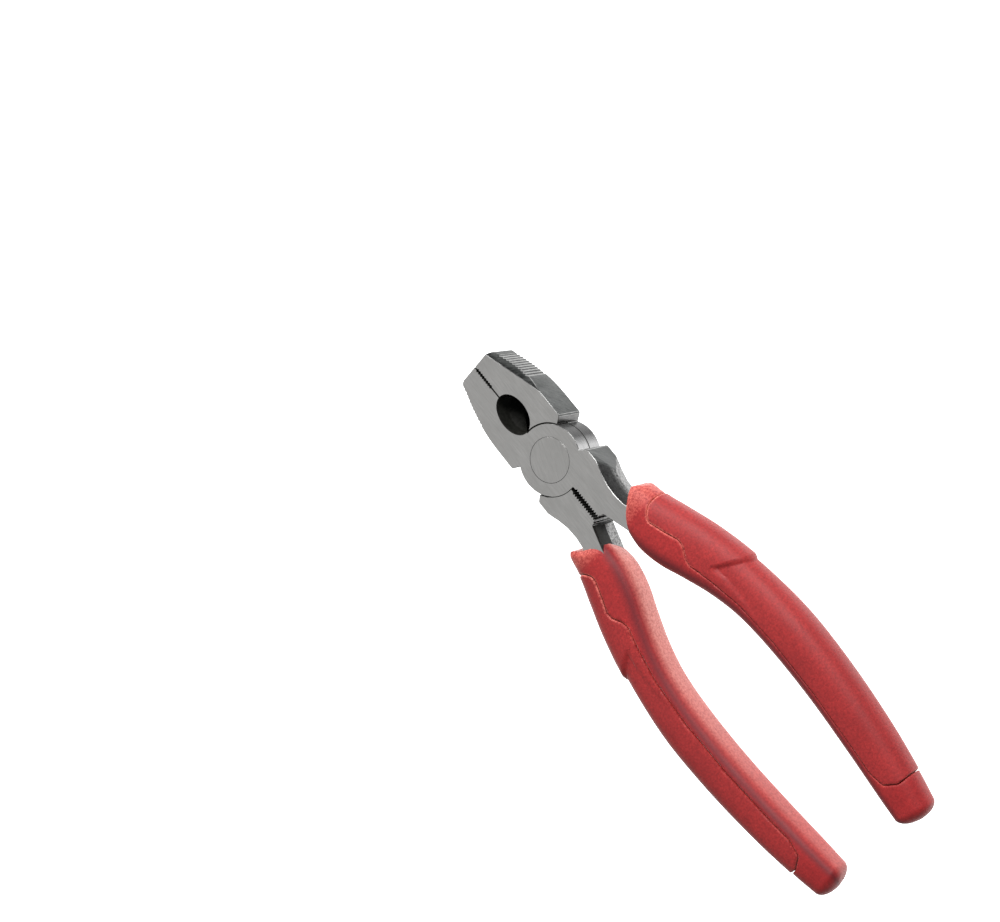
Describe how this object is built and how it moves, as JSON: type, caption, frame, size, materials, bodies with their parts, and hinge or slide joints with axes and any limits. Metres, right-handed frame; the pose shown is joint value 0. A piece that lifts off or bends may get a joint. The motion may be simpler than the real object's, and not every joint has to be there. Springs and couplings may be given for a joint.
{
  "type": "lineman pliers",
  "caption": "Lineman pliers with a reaming nose, side-cutting knives in an oval throat, a flush lap joint and two-shot moulded grips, lying flat and closed.",
  "frame": {"origin": "on the pivot axis, at the back face of the rivet and of the head", "axes": "+Y from the pivot to the nose, +Z out of the front face along the pivot, +X to the right seen from the front"},
  "size_m": [0.081, 0.2425, 0.0186],
  "materials": {
    "forged_steel": "ground and brushed faces, forged flanks",
    "rivet_steel": "ground flush with the head",
    "grip_red": "fine spark texture",
    "panel_red": "soft, fine spark texture"
  },
  "bodies": {
    "front_half": {"front_lever": "forged_steel", "pivot_rivet": "rivet_steel", "front_grip_sleeve": "grip_red", "front_grip_panel": "panel_red"},
    "rear_half": {"rear_lever": "forged_steel", "rear_grip_sleeve": "grip_red", "rear_grip_panel": "panel_red"}
  },
  "joints": [
    {"name": "pivot", "type": "hinge", "parent": "front_half", "child": "rear_half", "pos_m": [0, 0, 0.0078], "axis": [0, 0, -1], "range_deg": [0, 45]}
  ]
}
